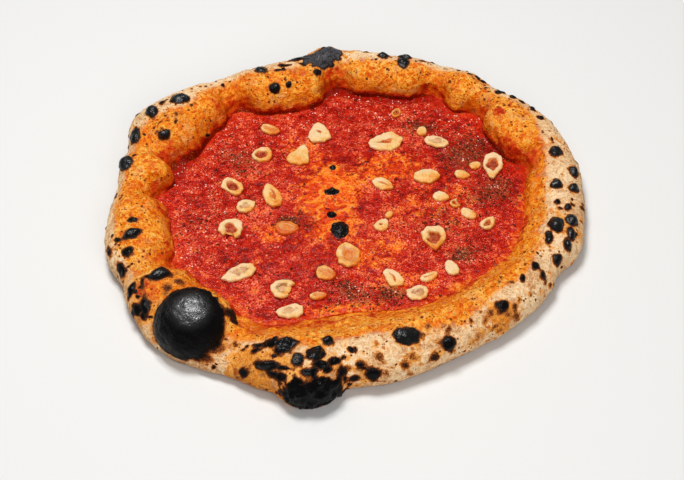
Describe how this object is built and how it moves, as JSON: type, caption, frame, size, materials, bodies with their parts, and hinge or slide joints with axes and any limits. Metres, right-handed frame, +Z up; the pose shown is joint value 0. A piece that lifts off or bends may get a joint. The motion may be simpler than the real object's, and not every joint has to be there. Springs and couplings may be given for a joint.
{
  "type": "marinara pizza",
  "caption": "Round wood-fired marinara pizza: thin dough base with a high, puffed and charred rim, tomato sauce with oregano, and baked slices of garlic on top.",
  "frame": {"origin": "on the flat underside, at the centre of the ring that the rim follows", "axes": "+Z up, -Y towards the front, where the burnt corner of the rim is, +X to the right"},
  "size_m": [0.3102, 0.3203, 0.036],
  "materials": {
    "crust": "matte baked crust with charred blisters",
    "sauce": "wet, oily tomato sauce with flakes of oregano",
    "garlic": "satin, baked to a pale gold"
  },
  "bodies": {
    "root": {"dough": "crust", "sauce": "sauce", "garlic_01": "garlic", "garlic_02": "garlic", "garlic_03": "garlic", "garlic_04": "garlic", "garlic_05": "garlic", "garlic_06": "garlic", "garlic_07": "garlic", "garlic_08": "garlic", "garlic_09": "garlic", "garlic_10": "garlic", "garlic_11": "garlic", "garlic_12": "garlic", "garlic_13": "garlic", "garlic_14": "garlic", "garlic_15": "garlic", "garlic_16": "garlic", "garlic_17": "garlic", "garlic_18": "garlic", "garlic_19": "garlic", "garlic_20": "garlic", "garlic_21": "garlic", "garlic_22": "garlic", "garlic_23": "garlic", "garlic_24": "garlic", "garlic_25": "garlic", "garlic_26": "garlic", "garlic_27": "garlic", "garlic_28": "garlic", "garlic_29": "garlic", "garlic_30": "garlic", "garlic_31": "garlic", "garlic_32": "garlic", "garlic_33": "garlic", "garlic_34": "garlic", "garlic_35": "garlic"}
  },
  "joints": []
}
